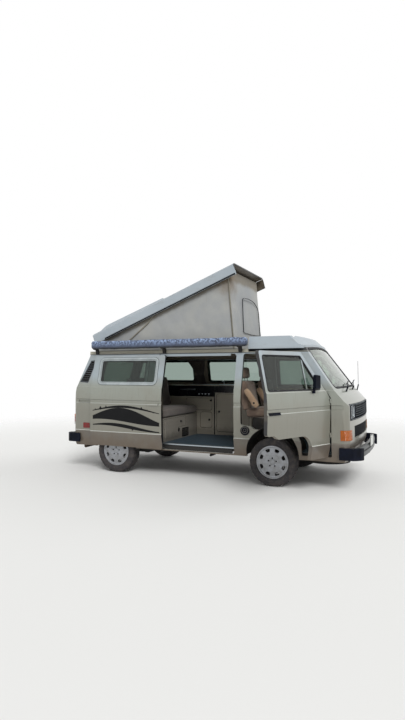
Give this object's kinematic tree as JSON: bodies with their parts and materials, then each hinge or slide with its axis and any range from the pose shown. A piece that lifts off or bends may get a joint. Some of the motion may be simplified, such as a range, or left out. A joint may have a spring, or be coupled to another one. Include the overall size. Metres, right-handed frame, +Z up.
{
  "type": "camper van",
  "caption": "Forward-control camper van with a raised lifting roof and canvas wall, open cab door, open sliding door, kitchen, bench, roof tray and rolled awning.",
  "frame": {"origin": "on the ground, on the centre line, midway between the front and rear axles", "axes": "+X towards the nose, +Y towards the van's left side, +Z up"},
  "size_m": [4.5577, 3.0558, 3.0802],
  "materials": {
    "body_paint": "metallic champagne paint, dull with age",
    "moulded_roof": "weathered moulded fibreglass",
    "glass": "clear, slightly green",
    "black_plastic": "grained",
    "clear_lens": "ribbed lens",
    "amber_lens": "ribbed lens",
    "red_lens": "ribbed lens",
    "bright_metal": "polished, slightly dull",
    "black_metal": "satin underbody black",
    "engine_iron": "raw cast",
    "vinyl": "creased vinyl",
    "canvas_cloth": "woven, stained",
    "seat_cloth": "woven cloth",
    "beige_board": "laminate-faced board",
    "tyre_rubber": "used, dusty",
    "alloy": "silver lacquer"
  },
  "bodies": {
    "body": {"floor_pan": "body_paint", "wheelhouses": "body_paint", "rear_deck": "body_paint", "underframe": "black_metal", "lifting_points": "black_metal", "nose_panel": "body_paint", "side_left": "body_paint", "side_right": "body_paint", "rear_valance": "body_paint", "roof_frame": "body_paint", "luggage_rack": "moulded_roof", "body_glass": "glass", "front_grille": "black_plastic", "headlamps": "clear_lens", "turn_signals": "amber_lens", "front_bumper": "bright_metal", "rear_bumper": "bright_metal", "bumper_caps": "black_plastic", "tail_lamps": "red_lens", "air_intakes": "black_plastic", "awning_bag": "vinyl", "awning_brackets": "black_metal", "canvas": "canvas_cloth", "dashboard": "black_plastic", "front_seats": "seat_cloth", "rear_bench": "beige_board", "bench_cushions": "seat_cloth", "galley": "beige_board", "engine_block": "engine_iron", "exhaust": "black_metal", "front_axle": "black_metal", "rear_axle": "black_metal", "spare_tray": "black_plastic", "sliding_door": "body_paint", "sliding_door_glass": "glass", "wipers": "black_plastic", "aerial": "black_plastic", "fuel_cap": "black_plastic"},
    "front_door_right": {"front_door_right": "body_paint", "door_glass_right": "glass", "mirror_right": "black_plastic"},
    "front_door_left": {"front_door_left": "body_paint", "door_glass_left": "glass", "mirror_left": "black_plastic"},
    "tailgate": {"tailgate": "body_paint", "tailgate_glass": "glass"},
    "roof_arms": {"roof_arms": "black_metal"},
    "pop_top": {"pop_top": "moulded_roof"},
    "steering_wheel": {"steering_wheel": "black_plastic"},
    "knuckle_left": {"knuckle_left": "black_metal"},
    "knuckle_right": {"knuckle_right": "black_metal"},
    "wheel_front_left": {"tyre_front_left": "tyre_rubber", "rim_front_left": "alloy"},
    "wheel_front_right": {"tyre_front_right": "tyre_rubber", "rim_front_right": "alloy"},
    "wheel_rear_left": {"tyre_rear_left": "tyre_rubber", "rim_rear_left": "alloy"},
    "wheel_rear_right": {"tyre_rear_right": "tyre_rubber", "rim_rear_right": "alloy"}
  },
  "joints": [
    {"name": "front_door_right_swing", "type": "hinge", "parent": "body", "child": "front_door_right", "pos_m": [2.008, -0.92, 0.9], "axis": [0, 0, 1], "range_deg": [-66, 4]},
    {"name": "front_door_left_swing", "type": "hinge", "parent": "body", "child": "front_door_left", "pos_m": [2.008, 0.92, 0.9], "axis": [0, 0, 1], "range_deg": [-70, 0]},
    {"name": "tailgate_lift", "type": "hinge", "parent": "body", "child": "tailgate", "pos_m": [-1.804, 0, 1.79], "axis": [0, 1, 0], "range_deg": [0, 85]},
    {"name": "roof_arm_swing", "type": "hinge", "parent": "body", "child": "roof_arms", "pos_m": [-1.5, 0, 1.96], "axis": [0, 1, 0], "range_deg": [-45.6, 0]},
    {"name": "pop_top_tilt", "type": "hinge", "parent": "roof_arms", "child": "pop_top", "pos_m": [-1.679, 0, 2.036], "axis": [0, 1, 0], "range_deg": [0, 67], "deforming": ["canvas"]},
    {"name": "steer_left", "type": "hinge", "parent": "body", "child": "knuckle_left", "pos_m": [1.23, 0.735, 0.322], "axis": [0, 0, 1], "range_deg": [-33, 33]},
    {"name": "steer_right", "type": "hinge", "parent": "body", "child": "knuckle_right", "pos_m": [1.23, -0.735, 0.322], "axis": [0, 0, 1], "range_deg": [-33, 33]},
    {"name": "steering_wheel_turn", "type": "hinge", "parent": "body", "child": "steering_wheel", "pos_m": [1.7776, 0.37, 1.2419], "axis": [-0.7479, 0, 0.6638], "range_deg": [-528, 528]},
    {"name": "wheel_front_left_spin", "type": "hinge", "parent": "knuckle_left", "child": "wheel_front_left", "pos_m": [1.23, 0.785, 0.322], "axis": [0, 1, 0], "continuous": true},
    {"name": "wheel_front_right_spin", "type": "hinge", "parent": "knuckle_right", "child": "wheel_front_right", "pos_m": [1.23, -0.785, 0.322], "axis": [0, 1, 0], "continuous": true},
    {"name": "wheel_rear_left_spin", "type": "hinge", "parent": "body", "child": "wheel_rear_left", "pos_m": [-1.23, 0.785, 0.322], "axis": [0, 1, 0], "continuous": true},
    {"name": "wheel_rear_right_spin", "type": "hinge", "parent": "body", "child": "wheel_rear_right", "pos_m": [-1.23, -0.785, 0.322], "axis": [0, 1, 0], "continuous": true}
  ],
  "couplings": [
    {"joint": "roof_arm_swing", "follows": "pop_top_tilt", "ratio": -0.68},
    {"joint": "steer_right", "follows": "steer_left", "ratio": 1},
    {"joint": "steering_wheel_turn", "follows": "steer_left", "ratio": 16}
  ]
}
